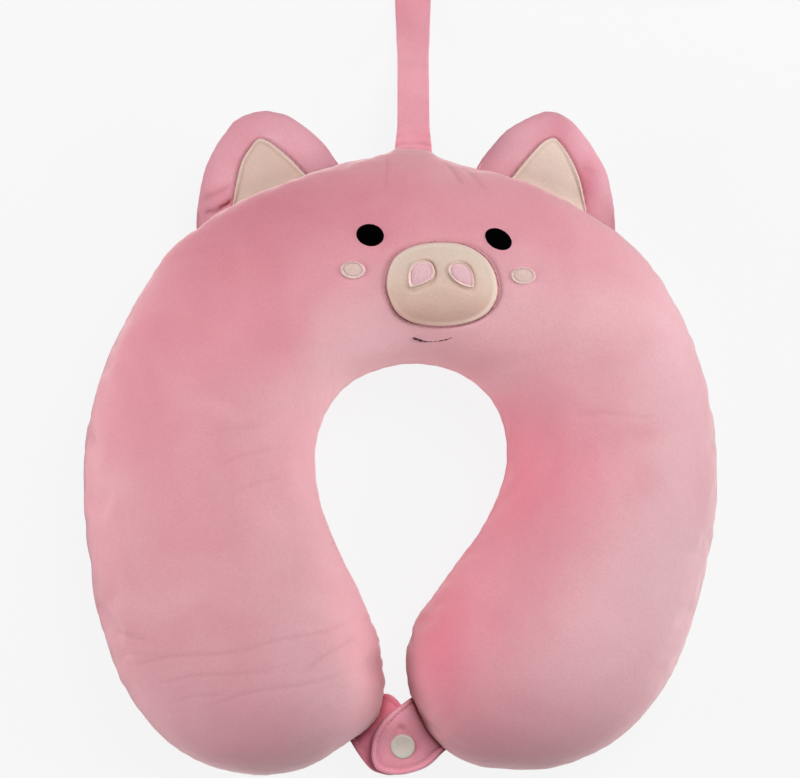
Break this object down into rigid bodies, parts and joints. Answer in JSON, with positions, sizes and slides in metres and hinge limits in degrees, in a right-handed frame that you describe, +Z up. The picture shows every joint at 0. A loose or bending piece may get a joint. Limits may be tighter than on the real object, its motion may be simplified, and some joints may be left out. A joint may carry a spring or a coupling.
{
  "type": "u shaped neck pillow",
  "caption": "Fibre-filled U shaped travel neck pillow with a pig face, folding ears, a hanging loop and two closing tabs joined by a press snap.",
  "frame": {"origin": "on the flat underside, below the middle of the head", "axes": "+Z up out of the face, +Y from the hole to the crown of the head, +X to the right as the face is seen from above"},
  "size_m": [0.3159, 0.4208, 0.0911],
  "materials": {
    "pink_plush": "short pile",
    "pink_strap": "short pile, folded and stitched",
    "cream_plush": "short pile",
    "polyester_fibre": "loose fibre",
    "pale_pink_embroidery": "satin stitch",
    "black_embroidery": "satin stitch",
    "dark_thread": "twisted thread",
    "rose_thread": "twisted thread",
    "pink_thread": "twisted thread",
    "cream_snap_plastic": "moulded"
  },
  "bodies": {
    "pillow": {"cheek_left": "cream_plush", "cheek_left_rim": "pale_pink_embroidery", "cheek_right": "cream_plush", "cheek_right_rim": "pale_pink_embroidery", "closing_seam_stitches": "pink_thread", "cover_back": "pink_plush", "cover_front": "pink_plush", "eye_left": "black_embroidery", "eye_right": "black_embroidery", "fibre_fill": "polyester_fibre", "mouth_stitch": "dark_thread", "nostril_left": "pale_pink_embroidery", "nostril_right": "pale_pink_embroidery", "snout_cover": "cream_plush", "snout_edge_stitch": "rose_thread", "snout_wadding": "polyester_fibre"},
    "left_ear": {"left_ear_back": "pink_plush", "left_ear_front": "pink_plush", "left_ear_lining": "cream_plush", "left_ear_wadding": "polyester_fibre"},
    "right_ear": {"right_ear_back": "pink_plush", "right_ear_front": "pink_plush", "right_ear_lining": "cream_plush", "right_ear_wadding": "polyester_fibre"},
    "hang_loop": {"hang_loop": "pink_strap"},
    "upper_tab": {"upper_tab_face": "pink_plush", "upper_tab_lining": "pink_plush", "upper_tab_stitching": "pink_thread", "snap_cap": "cream_snap_plastic", "snap_socket": "cream_snap_plastic"},
    "lower_tab": {"lower_tab_face": "pink_plush", "lower_tab_lining": "pink_plush", "lower_tab_stitching": "pink_thread", "snap_stud": "cream_snap_plastic", "snap_back_cap": "cream_snap_plastic"}
  },
  "joints": [
    {"name": "left_ear_fold", "type": "hinge", "parent": "pillow", "child": "left_ear", "pos_m": [-0.06782, 0.03547, 0.041], "axis": [0.9298, 0.3681, 0], "range_deg": [-30, 45], "stiffness_Nm_per_rad": 0.05},
    {"name": "right_ear_fold", "type": "hinge", "parent": "pillow", "child": "right_ear", "pos_m": [0.07676, 0.03352, 0.041], "axis": [0.9298, -0.3681, 0], "range_deg": [-30, 45], "stiffness_Nm_per_rad": 0.05},
    {"name": "hang_loop_lift", "type": "hinge", "parent": "pillow", "child": "hang_loop", "pos_m": [0.0067, 0.0483, 0.0422], "axis": [1, 0, 0], "range_deg": [0, 90]},
    {"name": "upper_tab_lift", "type": "hinge", "parent": "pillow", "child": "upper_tab", "pos_m": [0.01012, -0.23454, 0.046], "axis": [-0.5878, 0.809, 0], "range_deg": [0, 90], "stiffness_Nm_per_rad": 0.03},
    {"name": "lower_tab_drop", "type": "hinge", "parent": "pillow", "child": "lower_tab", "pos_m": [-0.01087, -0.2327, 0.036], "axis": [0.6691, 0.7431, 0], "range_deg": [0, 60], "stiffness_Nm_per_rad": 0.03}
  ]
}
